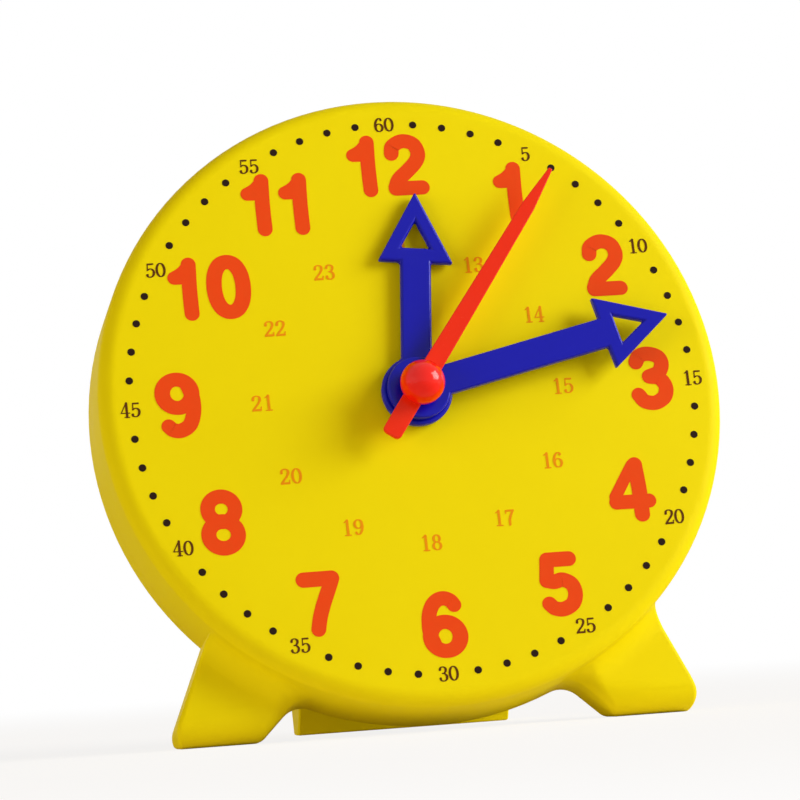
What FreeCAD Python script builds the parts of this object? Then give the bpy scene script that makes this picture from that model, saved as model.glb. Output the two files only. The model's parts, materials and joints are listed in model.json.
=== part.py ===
# A small teaching clock: a round moulded case on two front feet and a rear leg, with hour and
# minute hands geared together 12 to 1 and a red second hand that turns by itself.
#
# Every piece is drawn in the dial frame: X to the right, Y up the dial, Z out of the dial towards
# the reader, with the origin at the middle of the dial's front face. The last step leans the whole
# clock back and stands it on the ground with +Z up.
import FreeCAD
import Part
import Sketcher
import math
import os

doc = FreeCAD.newDocument("TeachingClock")

# driving dimensions (mm, degrees)
sizes = {
    # stance
    "lean": 13.0,
    "rimLift": 0.734,
    # case
    "caseRadius": 52.5,
    "caseDepth": 16.5,
    "caseWall": 2.0,
    "dialThickness": 2.0,
    "dialRound": 2.8,
    # front feet
    "footFaceDepth": 8.0,
    "footOuterAngle": 46.0,
    "footInnerAngle": 25.4,
    "footOuterSplay": 23.5,
    "footInnerSplay": 46.0,
    "footCornerRound": 3.5,
    "footToeMargin": 1.3,
    "footInnerEdge": 2.2,
    "footOuterEdge": 0.8,
    "footBlend": 4.2,
    # rear cover
    "coverThickness": 2.0,
    "coverGap": 0.15,
    "panelMargin": 4.9,
    "panelHeight": 2.0,
    "postRadius": 3.2,
    "postClearance": 5.3,
    # rear leg
    "legWidth": 37.0,
    "legReach": 45.0,
    "legHeel": 4.0,
    "legToeHeight": 5.0,
    "legTop": -7.0,
    "legRoot": -24.0,
    "legFlange": 2.2,
    "legRib": 2.4,
    "legScrewSpacing": 20.0,
    "legScrewDrop": 14.0,
    # screws
    "screwRadius": 1.0,
    "screwPlay": 0.05,
    "screwHole": 1.25,
    "screwHeadRadius": 2.1,
    "screwHeadHeight": 1.3,
    "screwBite": 5.0,
    "crossWidth": 0.6,
    "knobScrewRadius": 0.6,
    "pilotSpare": 0.4,
    # gear train
    "gearModule": 0.75,
    "pressureAngle": 25.0,
    "gearBacklash": 0.12,
    "dedendumRatio": 1.25,
    "minuteTeeth": 15,
    "idlerWheelTeeth": 45,
    "idlerPinionTeeth": 12,
    "wheelThickness": 2.0,
    "pinionThickness": 2.6,
    "gearGap": 0.4,
    "shaftPlay": 0.05,
    # bearings
    "bushFlangeRadius": 6.0,
    "bushFlangeHeight": 0.8,
    "bushWall": 1.2,
    "bushProud": 0.15,
    "plateThickness": 1.6,
    "plateEdge": 5.0,
    "platePostRadius": 2.6,
    "lowerPostX": 22.5,
    "lowerPostY": -7.0,
    "upperPostX": 21.0,
    "upperPostY": 27.0,
    "washerRadius": 4.4,
    "washerThickness": 0.25,
    # shafts, from the middle outwards
    "secondArborRadius": 1.0,
    "minutePipeWall": 0.95,
    "hourPipeWall": 1.1,
    "idlerArborRadius": 1.2,
    "pivotDepth": 1.0,
    "bossRadius": 3.0,
    "bossHeight": 2.4,
    "pipeTail": 0.8,
    "retainerRadius": 2.8,
    "retainerThickness": 0.6,
    "retainerPlay": 0.2,
    "arborTail": 0.7,
    # hands
    "handGap": 0.3,
    "handThickness": 1.6,
    "hourAngle": 5.9,
    "hourLength": 34.9,
    "hourWidth": 5.15,
    "hourHubRadius": 5.95,
    "hourArrow": 12.5,
    "minuteAngle": 76.7,
    "minuteLength": 45.0,
    "minuteWidth": 5.1,
    "minuteHubRadius": 5.3,
    "minuteArrow": 11.8,
    "arrowWidth": 12.8,
    "arrowBar": 2.5,
    "windowWidth": 5.0,
    "windowLength": 4.8,
    "secondAngle": 36.0,
    "secondLength": 45.2,
    "secondTail": 10.2,
    "secondTailWidth": 3.3,
    "secondTailRound": 0.9,
    "secondWidth": 3.4,
    "secondNeck": 2.3,
    "secondPoint": 8.0,
    "secondTip": 0.7,
    "secondThickness": 0.9,
    "ballRadius": 3.7,
    "ballCentre": 1.4,
    "ballSocket": 3.2,
    # setting knob
    "knobRadius": 6.5,
    "knobLength": 6.5,
    "knobGap": 0.5,
    "knobHubRadius": 3.0,
    "knobWeb": 2.0,
    "knobHubRise": 1.5,
    "knobWall": 1.5,
    "knobRibs": 18,
    "knobRibRadius": 0.55,
}

sheet = doc.addObject("Spreadsheet::Sheet", "Sizes")
for row, (alias, number) in enumerate(sizes.items(), start=1):
    sheet.set("A%d" % row, alias)
    sheet.set("B%d" % row, str(number))
    sheet.setAlias("B%d" % row, alias)
doc.recompute()


def size(alias):
    """A driving dimension, read back from the sheet."""
    return float(sheet.get(alias))


def number(text):
    """The present value of an expression on the sheet's cells."""
    value = sheet.evalExpression(text)
    return float(getattr(value, "Value", value))


# expressions that several pieces share
standHeight = "(Sizes.caseRadius * cos(Sizes.lean) + Sizes.caseDepth * sin(Sizes.lean) + Sizes.rimLift)"
coverScrewCircle = "(Sizes.caseRadius - Sizes.caseWall - Sizes.postClearance - Sizes.postRadius)"
panelRadius = "(%s - Sizes.screwHeadRadius - Sizes.panelHeight - Sizes.panelMargin)" % coverScrewCircle
wheelTeeth = "(Sizes.minuteTeeth + Sizes.idlerWheelTeeth - Sizes.idlerPinionTeeth)"
axleSpacing = "(Sizes.gearModule * (Sizes.minuteTeeth + Sizes.idlerWheelTeeth) / 2)"

# heights along Z, from the dial backwards
dialBack = "(-Sizes.dialThickness)"
bushBack = "(%s - Sizes.bushFlangeHeight)" % dialBack
hourWheelFront = "(%s - Sizes.gearGap)" % bushBack
hourWheelBack = "(%s - Sizes.wheelThickness)" % hourWheelFront
pinionFront = "(%s - Sizes.gearGap)" % hourWheelBack
pinionBack = "(%s - Sizes.pinionThickness)" % pinionFront
idlerWheelFront = "(%s - (Sizes.pinionThickness - Sizes.wheelThickness) / 2)" % pinionFront
idlerWheelBack = "(%s - Sizes.wheelThickness)" % idlerWheelFront
plateFront = "(%s - Sizes.gearGap)" % pinionBack
plateBack = "(%s - Sizes.plateThickness)" % plateFront
pipeEnd = "(%s - Sizes.pipeTail)" % plateBack
coverFront = "(Sizes.coverThickness - Sizes.caseDepth)"
caseBack = "(-Sizes.caseDepth)"
panelBack = "(-Sizes.caseDepth - Sizes.panelHeight)"
knobFront = "(%s - Sizes.knobGap)" % panelBack
knobWebBack = "(%s - Sizes.knobWeb)" % knobFront
knobBack = "(%s - Sizes.knobLength)" % knobFront
idlerArborEnd = "(%s - Sizes.knobHubRise)" % knobWebBack
retainerFront = "(%s - Sizes.retainerPlay)" % pipeEnd
retainerBack = "(%s - Sizes.retainerThickness)" % retainerFront
secondArborEnd = "(%s - Sizes.arborTail)" % retainerBack

# heights along Z, from the dial forwards
hourHandBack = "(Sizes.bushProud + Sizes.handGap)"
hourHandFront = "(%s + Sizes.handThickness)" % hourHandBack
minuteHandBack = "(%s + Sizes.handGap)" % hourHandFront
minuteHandFront = "(%s + Sizes.handThickness)" % minuteHandBack
secondHandBack = "(%s + Sizes.handGap)" % minuteHandFront
secondHandFront = "(%s + Sizes.secondThickness)" % secondHandBack
secondArborTop = "(%s + Sizes.ballSocket)" % secondHandFront

# radii from the middle outwards
minuteBore = "(Sizes.secondArborRadius + Sizes.shaftPlay)"
minutePipe = "(%s + Sizes.minutePipeWall)" % minuteBore
hourBore = "(%s + Sizes.shaftPlay)" % minutePipe
hourPipe = "(%s + Sizes.hourPipeWall)" % hourBore
bushBore = "(%s + Sizes.shaftPlay)" % hourPipe
bushRadius = "(%s + Sizes.bushWall)" % bushBore
plateBore = "(%s + Sizes.shaftPlay)" % minutePipe
idlerBore = "(Sizes.idlerArborRadius + Sizes.shaftPlay)"


def groundAt(depth):
    """Y of the ground plane in the dial frame, at a depth behind the dial's face."""
    return "((%s * sin(Sizes.lean) - %s) / cos(Sizes.lean))" % (depth, standHeight)


# modelling helpers
def newBody(name):
    body = doc.addObject("PartDesign::Body", name)
    body.Label = name
    return body


def sketchOn(body, name, role, offset="0"):
    """A sketch on one of the body's own origin planes, lifted along that plane's normal."""
    sketch = body.newObject("Sketcher::SketchObject", name)
    plane = [item for item in body.Origin.OriginFeatures if item.Role == role][0]
    sketch.AttachmentSupport = (plane, "")
    sketch.MapMode = "FlatFace"
    sketch.setExpression("AttachmentOffset.Base.z", offset)
    return sketch


def pinPoint(sketch, geometry, vertex, x, y):
    """Hold one point of a sketch at a place given by two expressions."""
    for kind, text, axis in (("DistanceX", x, -2), ("DistanceY", y, -1)):
        if text == "0":
            sketch.addConstraint(Sketcher.Constraint("PointOnObject", geometry, vertex, axis))
        else:
            fixed = Sketcher.Constraint(kind, -1, 1, geometry, vertex, number(text))
            index = sketch.addConstraint(fixed)
            sketch.setExpression("Constraints[%d]" % index, text)


def addLoop(sketch, corners):
    """A closed outline of straight edges. A corner is a pair of expressions for its place, or
    three, where the third rounds it off."""
    points = [FreeCAD.Vector(number(corner[0]), number(corner[1]), 0) for corner in corners]
    count = len(corners)
    leave = []
    reach = []
    for index, corner in enumerate(corners):
        here = points[index]
        back = (points[index - 1] - here).normalize()
        onward = (points[(index + 1) % count] - here).normalize()
        setback = 0.0
        if len(corner) == 3:
            setback = number(corner[2]) / math.tan(back.getAngle(onward) / 2)
        reach.append(here + back * setback)
        leave.append(here + onward * setback)
    first = sketch.GeometryCount
    for index in range(count):
        sketch.addGeometry(Part.LineSegment(leave[index], reach[(index + 1) % count]), False)
    for index, corner in enumerate(corners):
        line = first + index
        before = first + (index - 1) % count
        if len(corner) == 2:
            sketch.addConstraint(Sketcher.Constraint("Coincident", before, 2, line, 1))
            pinPoint(sketch, line, 1, corner[0], corner[1])
            continue
        roundCorner(sketch, before, line, points[index], reach[index], leave[index], corner)


def roundCorner(sketch, before, line, sharp, start, end, corner):
    """An arc that is tangent to both lines, which still aim at the sharp corner."""
    radius = number(corner[2])
    middle = (start + end) * 0.5 - sharp
    half = (start - sharp).getAngle(middle)
    centre = sharp + middle.normalize() * (radius / math.sin(half))
    spoke = centre - sharp
    nearest = centre - spoke.normalize() * radius
    arc = sketch.addGeometry(Part.Arc(start, nearest, end), False)
    mark = sketch.addGeometry(Part.Point(sharp), True)
    leftTurn = (sharp - start).cross(end - sharp).z > 0
    entry, leaving = (1, 2) if leftTurn else (2, 1)
    sketch.addConstraint(Sketcher.Constraint("Tangent", before, 2, arc, entry))
    sketch.addConstraint(Sketcher.Constraint("Tangent", arc, leaving, line, 1))
    sketch.addConstraint(Sketcher.Constraint("PointOnObject", mark, 1, before))
    sketch.addConstraint(Sketcher.Constraint("PointOnObject", mark, 1, line))
    pinPoint(sketch, mark, 1, corner[0], corner[1])
    index = sketch.addConstraint(Sketcher.Constraint("Radius", arc, radius))
    sketch.setExpression("Constraints[%d]" % index, corner[2])


def addCircle(sketch, x, y, radius):
    centre = FreeCAD.Vector(number(x), number(y), 0)
    circle = Part.Circle(centre, FreeCAD.Vector(0, 0, 1), number(radius))
    geometry = sketch.addGeometry(circle, False)
    pinPoint(sketch, geometry, 3, x, y)
    fixed = Sketcher.Constraint("Radius", geometry, number(radius))
    index = sketch.addConstraint(fixed)
    sketch.setExpression("Constraints[%d]" % index, radius)


def revolve(body, name, corners):
    """Turn a half section, given as (radius, height) corners, round the body's Z axis."""
    sketch = sketchOn(body, name + "Section", "XZ_Plane")
    addLoop(sketch, corners)
    feature = body.newObject("PartDesign::Revolution", name)
    feature.Profile = sketch
    feature.ReferenceAxis = (sketch, ["V_Axis"])
    feature.Angle = 360.0
    doc.recompute()
    return feature


def turned(name, corners):
    """A body that is one turned piece."""
    body = newBody(name)
    revolve(body, name + "Turning", corners)
    return body


def pad(body, sketch, name, length):
    feature = body.newObject("PartDesign::Pad", name)
    feature.Profile = sketch
    feature.setExpression("Length", length)
    doc.recompute()
    return feature


def pocket(body, sketch, name, length="", bothWays=False, upwards=False):
    """Cut along the sketch's normal, or against it; no length means right through."""
    before = body.Shape.Volume
    feature = body.newObject("PartDesign::Pocket", name)
    feature.Profile = sketch
    if length:
        feature.setExpression("Length", length)
    else:
        feature.Type = "ThroughAll"
    feature.Midplane = bothWays
    feature.Reversed = upwards
    doc.recompute()
    if body.Shape.Volume >= before - 1e-6:
        raise RuntimeError(name + " removes nothing")
    return feature


def roundEdges(body, name, radius, wanted):
    """Fillet the edges of the body's tip that a test picks out."""
    base = body.Tip
    edges = []
    for index, edge in enumerate(base.Shape.Edges, start=1):
        if wanted(edge):
            edges.append("Edge%d" % index)
    if not edges:
        raise RuntimeError(name + " finds no edge")
    feature = body.newObject("PartDesign::Fillet", name)
    feature.Base = (base, edges)
    feature.setExpression("Radius", radius)
    doc.recompute()
    return feature


def near(first, second):
    return abs(first - second) < 1e-4


def along(edge, direction):
    """True for a straight edge that lies along a direction."""
    if not isinstance(edge.Curve, Part.Line):
        return False
    return abs(edge.Curve.Direction.dot(direction)) > 0.9999


def solidFeature(name, shape):
    """A piece whose shape is worked out in code from the sheet's values."""
    feature = doc.addObject("Part::Feature", name)
    feature.Label = name
    feature.Shape = shape
    return feature


def cylinder(radius, low, high, x=0.0, y=0.0):
    return Part.makeCylinder(radius, high - low, FreeCAD.Vector(x, y, low))


# the screws' places
coverScrews = []
for quarter in range(4):
    heading = "(45 + 90 * %d)" % quarter
    coverScrews.append(("(%s * cos(%s))" % (coverScrewCircle, heading),
                        "(%s * sin(%s))" % (coverScrewCircle, heading)))
plateScrews = [("Sizes.lowerPostX", "Sizes.lowerPostY"), ("(-Sizes.lowerPostX)", "Sizes.lowerPostY"),
               ("Sizes.upperPostX", "Sizes.upperPostY"), ("(-Sizes.upperPostX)", "Sizes.upperPostY")]
legScrews = [("(Sizes.legScrewSpacing / 2)", "(-Sizes.legScrewDrop)"),
             ("(-Sizes.legScrewSpacing / 2)", "(-Sizes.legScrewDrop)")]


def screwGroup(name, places, seat, shank="screwRadius"):
    """Pan-head screws driven forwards, their heads seated at one height, as separate solids."""
    head = size("screwHeadHeight")
    width = size("crossWidth")
    reach = size("screwHeadRadius")
    stem = size(shank) - size("screwPlay")
    top = number(seat)
    screws = []
    for x, y in places:
        place = (number(x), number(y))
        screw = cylinder(reach, top - head, top, *place)
        rim = [edge for edge in screw.Edges if near(edge.BoundBox.ZMax, top - head)]
        screw = screw.makeFillet(head / 2, rim)
        screw = screw.fuse(cylinder(stem, top, top + size("screwBite"), *place))
        for long, short in ((reach, width), (width, reach)):
            corner = FreeCAD.Vector(place[0] - long / 2, place[1] - short / 2, top - head)
            screw = screw.cut(Part.makeBox(long, short, head / 2, corner))
        screws.append(screw)
    return solidFeature(name, Part.makeCompound(screws))


# the front shell
def makeFrontShell():
    """Dial plate and rim in one dish, with two feet, posts for both sets of screws and a boss."""
    body = newBody("front_shell")
    innerRadius = "(Sizes.caseRadius - Sizes.caseWall)"
    revolve(body, "Dish", [("0", "0"), ("Sizes.caseRadius", "0"), ("Sizes.caseRadius", caseBack),
                           (innerRadius, caseBack), (innerRadius, dialBack), ("0", dialBack)])

    # each foot leaves the rim between two angles, spreads to the ground and stays in its wall
    weld = "(Sizes.caseRadius - Sizes.caseWall / 2)"
    footDepth = "(Sizes.caseDepth - Sizes.footFaceDepth)"
    solePlane = groundAt("Sizes.footFaceDepth")
    outerX = "(%s * sin(Sizes.footOuterAngle))" % weld
    outerY = "(-%s * cos(Sizes.footOuterAngle))" % weld
    innerX = "(%s * sin(Sizes.footInnerAngle))" % weld
    innerY = "(-%s * cos(Sizes.footInnerAngle))" % weld
    middle = "((Sizes.footOuterAngle + Sizes.footInnerAngle) / 2)"

    def outerSide(height):
        return "(%s + (%s - %s) * tan(Sizes.footOuterSplay))" % (outerX, outerY, height)

    def innerSide(height):
        return "(%s + (%s - %s) * tan(Sizes.footInnerSplay))" % (innerX, innerY, height)

    coreFloor = "(%s + Sizes.caseWall)" % groundAt("Sizes.caseDepth")
    coreTop = "(Sizes.caseRadius + Sizes.caseWall / 2)"
    beyond = "(Sizes.caseDepth + Sizes.caseRadius)"
    # the toe's round takes up the foot's drop below the rim, less a margin under the blend
    innerRim = "(-sqrt(Sizes.caseRadius ^ 2 - %s ^ 2))" % innerX
    toeSetback = "(%s - %s - Sizes.footToeMargin)" % (innerRim, solePlane)
    toeRound = "(%s * tan((90 - Sizes.lean) / 2))" % toeSetback
    toeTop = "(%s - Sizes.footToeMargin / 2)" % innerRim
    for side, mirror in (("Right", ""), ("Left", "-")):
        foot = [(outerX, outerY), (outerSide(solePlane), solePlane, "Sizes.footCornerRound"),
                (innerSide(solePlane), solePlane), (innerX, innerY),
                ("(%s * sin(%s))" % (weld, middle), "(-%s * cos(%s))" % (weld, middle))]
        sketch = sketchOn(body, side + "FootOutline", "XY_Plane", "(-Sizes.caseDepth)")
        addLoop(sketch, [(mirror + corner[0],) + corner[1:] for corner in foot])
        pad(body, sketch, side + "Foot", footDepth)
        # the sole lies on the ground, which meets the leaning clock at an angle, behind a round toe
        sketch = sketchOn(body, side + "SoleSection", "YZ_Plane", mirror + innerX)
        addLoop(sketch, [(groundAt(beyond), "(-%s)" % beyond),
                         (solePlane, "(-Sizes.footFaceDepth)", toeRound),
                         (toeTop, "(-Sizes.footFaceDepth)"), (toeTop, beyond),
                         ("(-2 * %s)" % beyond, beyond), ("(-2 * %s)" % beyond, "(-%s)" % beyond)])
        pocket(body, sketch, side + "Sole", upwards=(mirror == ""))

    roundEdges(body, "DialEdge", "Sizes.dialRound", lambda edge:
               edge.Curve.TypeId == "Part::GeomCircle" and near(edge.Curve.Radius, size("caseRadius"))
               and near(edge.BoundBox.ZMin, 0))
    # each foot's root and inner side run softly into the rim; its outer side meets it at a corner
    front = -size("footFaceDepth")
    acrossDial = FreeCAD.Vector(1, 0, 0)
    outerRoot = ((size("caseRadius") - size("caseWall") / 2)
                 * math.sin(math.radians(size("footOuterAngle"))))

    def isSideEdge(edge):
        return (isinstance(edge.Curve, Part.Line) and not along(edge, acrossDial)
                and near(edge.BoundBox.ZMin, front) and near(edge.BoundBox.ZMax, front))

    roundEdges(body, "FootInnerEdges", "Sizes.footInnerEdge", lambda edge:
               isSideEdge(edge) and abs(edge.CenterOfMass.x) < outerRoot)
    roundEdges(body, "FootBlends", "Sizes.footBlend", lambda edge:
               edge.Curve.TypeId == "Part::GeomCircle" and near(edge.Curve.Radius, size("caseRadius"))
               and near(edge.BoundBox.ZMin, front) and near(edge.BoundBox.ZMax, front))
    roundEdges(body, "FootOuterEdges", "Sizes.footOuterEdge", lambda edge:
               isSideEdge(edge) and abs(edge.CenterOfMass.x) > outerRoot)

    # triangular cores hollow the feet from behind
    for side, mirror in (("Right", ""), ("Left", "-")):
        core = [("(%s * sin(%s))" % (coreTop, middle), "(-%s * cos(%s))" % (coreTop, middle)),
                ("(%s - Sizes.caseWall / cos(Sizes.footOuterSplay))" % outerSide(coreFloor), coreFloor),
                ("(%s + Sizes.caseWall / cos(Sizes.footInnerSplay))" % innerSide(coreFloor), coreFloor)]
        sketch = sketchOn(body, side + "Core", "XY_Plane", caseBack)
        addLoop(sketch, [(mirror + x, y) for x, y in core])
        pocket(body, sketch, side + "FootCore", "(%s - 2 * Sizes.caseWall)" % footDepth, upwards=True)

    # posts carry the rear cover and the gear plate; a boss holds the idler's front pivot
    for group, places, top in (("Cover", coverScrews, coverFront), ("Plate", plateScrews, plateFront)):
        radius = {"Cover": "Sizes.postRadius", "Plate": "Sizes.platePostRadius"}[group]
        sketch = sketchOn(body, group + "PostCircles", "XY_Plane", top)
        for x, y in places:
            addCircle(sketch, x, y, radius)
        pad(body, sketch, group + "Posts", "(%s - %s)" % (dialBack, top))
        sketch = sketchOn(body, group + "PilotCircles", "XY_Plane", top)
        for x, y in places:
            addCircle(sketch, x, y, "Sizes.screwRadius")
        pocket(body, sketch, group + "Pilots", "(%s - %s)" % (dialBack, top), upwards=True)
    sketch = sketchOn(body, "PivotBossCircle", "XY_Plane", bushBack)
    addCircle(sketch, "0", axleSpacing, "Sizes.bossRadius")
    pad(body, sketch, "PivotBoss", "Sizes.bushFlangeHeight")
    sketch = sketchOn(body, "PivotCircle", "XY_Plane", bushBack)
    addCircle(sketch, "0", axleSpacing, idlerBore)
    pocket(body, sketch, "Pivot", "(Sizes.bushFlangeHeight + Sizes.pivotDepth)", upwards=True)
    sketch = sketchOn(body, "BushCircle", "XY_Plane")
    addCircle(sketch, "0", "0", bushRadius)
    pocket(body, sketch, "BushHole", bothWays=True)
    return body


# the rear cover
def makeRearCover():
    """A disc inside the rim with a raised panel, a bearing for the idler and screw holes."""
    edge = "(Sizes.caseRadius - Sizes.caseWall - Sizes.coverGap)"
    shoulder = "(%s - Sizes.coverThickness)" % panelRadius
    panelFront = "(%s + Sizes.coverThickness)" % panelBack
    body = newBody("rear_cover")
    revolve(body, "CoverDisc", [("0", panelFront), (shoulder, panelFront),
                                ("(%s + Sizes.panelHeight)" % shoulder, coverFront), (edge, coverFront),
                                (edge, caseBack), ("(%s + Sizes.panelHeight)" % panelRadius, caseBack),
                                (panelRadius, panelBack), ("0", panelBack)])
    # bosses inside: one bearing for the idler, two that take the leg's screws
    bosses = [("0", axleSpacing, "Sizes.bossRadius")]
    bosses += [(x, y, "Sizes.bossRadius") for x, y in legScrews]
    sketch = sketchOn(body, "BossCircles", "XY_Plane", panelFront)
    for x, y, radius in bosses:
        addCircle(sketch, x, y, radius)
    pad(body, sketch, "Bosses", "Sizes.bossHeight")
    sketch = sketchOn(body, "BearingCircle", "XY_Plane")
    addCircle(sketch, "0", axleSpacing, idlerBore)
    pocket(body, sketch, "Bearing", bothWays=True)
    sketch = sketchOn(body, "LegPilotCircles", "XY_Plane")
    for x, y in legScrews:
        addCircle(sketch, x, y, "Sizes.screwRadius")
    pocket(body, sketch, "LegPilots", bothWays=True)
    sketch = sketchOn(body, "CoverHoleCircles", "XY_Plane")
    for x, y in coverScrews:
        addCircle(sketch, x, y, "Sizes.screwHole")
    pocket(body, sketch, "CoverHoles", bothWays=True)
    return body


# the rear leg
def makeRearLeg():
    """An easel leg: a flange on the rear panel, a slanting plate, a heel and two side webs."""
    body = newBody("rear_leg")
    heelFront = "(Sizes.legReach - Sizes.legHeel)"
    flangeBack = "(%s - Sizes.legFlange)" % panelBack
    heelTop = "(%s + Sizes.legToeHeight)" % groundAt("Sizes.legReach")
    plateRoot = "(Sizes.legRoot + Sizes.legFlange)"
    side = [("Sizes.legTop", panelBack), ("Sizes.legRoot", panelBack),
            (groundAt(heelFront), "(-%s)" % heelFront), (groundAt("Sizes.legReach"), "(-Sizes.legReach)"),
            (heelTop, "(-Sizes.legReach)"), (plateRoot, flangeBack), ("Sizes.legTop", flangeBack)]
    sketch = sketchOn(body, "LegSection", "YZ_Plane", "(-Sizes.legWidth / 2)")
    addLoop(sketch, side)
    pad(body, sketch, "LegPlate", "Sizes.legWidth")
    web = [("Sizes.legTop", flangeBack), (plateRoot, flangeBack), (heelTop, "(-Sizes.legReach)")]
    for side, offset in (("Left", "(-Sizes.legWidth / 2)"),
                         ("Right", "(Sizes.legWidth / 2 - Sizes.legRib)")):
        sketch = sketchOn(body, side + "WebOutline", "YZ_Plane", offset)
        addLoop(sketch, web)
        pad(body, sketch, side + "Web", "Sizes.legRib")
    sketch = sketchOn(body, "LegHoleCircles", "XY_Plane", flangeBack)
    for x, y in legScrews:
        addCircle(sketch, x, y, "Sizes.screwHole")
    pocket(body, sketch, "LegHoles", "Sizes.legFlange", upwards=True)
    return body


# bearings and gear plate
def makeGearPlate():
    """The rear bearing plate, a four-cornered plate on the shell's plate posts."""
    body = newBody("gear_plate")
    edge = "Sizes.plateEdge"
    low = "(Sizes.lowerPostY - %s)" % edge
    high = "(Sizes.upperPostY + %s)" % edge
    wide = "(Sizes.lowerPostX + %s)" % edge
    narrow = "(Sizes.upperPostX + %s)" % edge
    sketch = sketchOn(body, "PlateOutline", "XY_Plane", plateBack)
    addLoop(sketch, [(wide, low, edge), (narrow, high, edge), ("-" + narrow, high, edge),
                     ("-" + wide, low, edge)])
    pad(body, sketch, "Plate", "Sizes.plateThickness")
    sketch = sketchOn(body, "PlateHoleCircles", "XY_Plane", plateBack)
    for x, y in plateScrews:
        addCircle(sketch, x, y, "Sizes.screwHole")
    addCircle(sketch, "0", "0", plateBore)
    addCircle(sketch, "0", axleSpacing, idlerBore)
    pocket(body, sketch, "PlateHoles", "Sizes.plateThickness", upwards=True)
    return body


# the gears
# an involute flank is a spline through one point more than this
flankSteps = 8


def involute(angle):
    return math.tan(angle) - angle


def gearShape(teeth, low, high, turn=0.0, x=0.0, y=0.0):
    """A spur gear with one tooth towards +Y, turned anticlockwise by an angle in degrees."""
    module = size("gearModule")
    pressure = math.radians(size("pressureAngle"))
    pitch = module * teeth / 2
    base = pitch * math.cos(pressure)
    tip = pitch + module
    root = pitch - size("dedendumRatio") * module
    halfTooth = (math.pi * module / 2 - size("gearBacklash")) / (2 * pitch)

    def flankPoint(radius, side):
        half = halfTooth + involute(pressure) - involute(math.acos(min(1.0, base / radius)))
        return FreeCAD.Vector(side * radius * math.sin(half), radius * math.cos(half), 0)

    start = max(base, root)
    radii = [start + (tip - start) * step / flankSteps for step in range(flankSteps + 1)]
    edges = []
    turnStep = 360.0 / teeth
    for tooth in range(teeth):
        rotation = FreeCAD.Rotation(FreeCAD.Vector(0, 0, 1), turn - tooth * turnStep)
        following = FreeCAD.Rotation(FreeCAD.Vector(0, 0, 1), turn - (tooth + 1) * turnStep)
        rising = [rotation.multVec(flankPoint(radius, -1)) for radius in radii]
        falling = [rotation.multVec(flankPoint(radius, 1)) for radius in reversed(radii)]
        foot = rotation.multVec(flankPoint(start, 1)).normalize() * root
        nextFoot = following.multVec(flankPoint(start, -1)).normalize() * root
        valley = (foot + nextFoot).normalize() * root
        crown = rotation.multVec(FreeCAD.Vector(0, tip, 0))
        if root < base:
            edges.append(Part.LineSegment(rising[0].normalize() * root, rotation.multVec(
                flankPoint(start, -1))).toShape())
            rising[0] = rotation.multVec(flankPoint(start, -1))
        for points in (rising, falling):
            flank = Part.BSplineCurve()
            flank.interpolate(points)
            if points is falling:
                edges.append(Part.Arc(rising[-1], crown, falling[0]).toShape())
            edges.append(flank.toShape())
        if root < base:
            edges.append(Part.LineSegment(falling[-1], foot).toShape())
        edges.append(Part.Arc(foot, valley, nextFoot).toShape())
    outline = Part.Wire(edges)
    gear = Part.Face(outline).extrude(FreeCAD.Vector(0, 0, high - low))
    gear.translate(FreeCAD.Vector(x, y, low))
    return gear


def makeMinutePinion():
    """The driving pinion, pressed on the minute pipe in front of the gear plate's washer."""
    low = number(pinionBack)
    gear = gearShape(int(size("minuteTeeth")), low, number(pinionFront))
    return solidFeature("minute_pinion", gear.cut(cylinder(number(minutePipe), low, number(pinionFront))))


def makeHourWheel():
    """The hour wheel and the pipe through the dial that carries the hour hand, in one moulding."""
    low = number(hourWheelBack)
    high = number(hourHandFront)
    gear = gearShape(int(number(wheelTeeth)), low, number(hourWheelFront))
    moulding = gear.fuse(cylinder(number(hourPipe), low, high)).cut(cylinder(number(hourBore), low, high))
    return solidFeature("hour_wheel", moulding.removeSplitter())


def makeIdlerWheel():
    low = number(idlerWheelBack)
    high = number(idlerWheelFront)
    place = (0.0, number(axleSpacing))
    gear = gearShape(int(size("idlerWheelTeeth")), low, high, 0.0, *place)
    return solidFeature("idler_wheel", gear.cut(cylinder(size("idlerArborRadius"), low, high, *place)))


def makeIdlerPinion():
    """The pinion that turns the hour wheel; half a tooth's turn puts it in mesh at rest."""
    low = number(idlerWheelFront)
    high = number(hourWheelFront)
    teeth = int(size("idlerPinionTeeth"))
    place = (0.0, number(axleSpacing))
    halfStep = 180.0 / teeth if teeth % 2 == 0 else 0.0
    gear = gearShape(teeth, low, high, halfStep, *place)
    return solidFeature("idler_pinion", gear.cut(cylinder(size("idlerArborRadius"), low, high, *place)))


# the hands
def arrowHand(name, width, length, arrow, hub, back):
    """A flat hand: a round hub, a bar and an arrowhead with a window above its base."""
    body = newBody(name)
    half = "(%s / 2)" % width
    barb = "(Sizes.arrowWidth / 2)"
    shoulder = "(%s - %s)" % (length, arrow)
    sill = "(%s + Sizes.arrowBar)" % shoulder
    sketch = sketchOn(body, name + "Outline", "XY_Plane", back)
    addLoop(sketch, [("-" + half, "0"), (half, "0"), (half, shoulder), (barb, shoulder), ("0", length),
                     ("-" + barb, shoulder), ("-" + half, shoulder)])
    pad(body, sketch, name + "Bar", "Sizes.handThickness")
    sketch = sketchOn(body, name + "HubCircle", "XY_Plane", back)
    addCircle(sketch, "0", "0", hub)
    pad(body, sketch, name + "Hub", "Sizes.handThickness")
    sketch = sketchOn(body, name + "Window", "XY_Plane", back)
    addLoop(sketch, [("(-Sizes.windowWidth / 2)", sill), ("(Sizes.windowWidth / 2)", sill),
                     ("0", "(%s + Sizes.windowLength)" % sill)])
    pocket(body, sketch, name + "WindowCut", "Sizes.handThickness", upwards=True)
    return body


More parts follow.
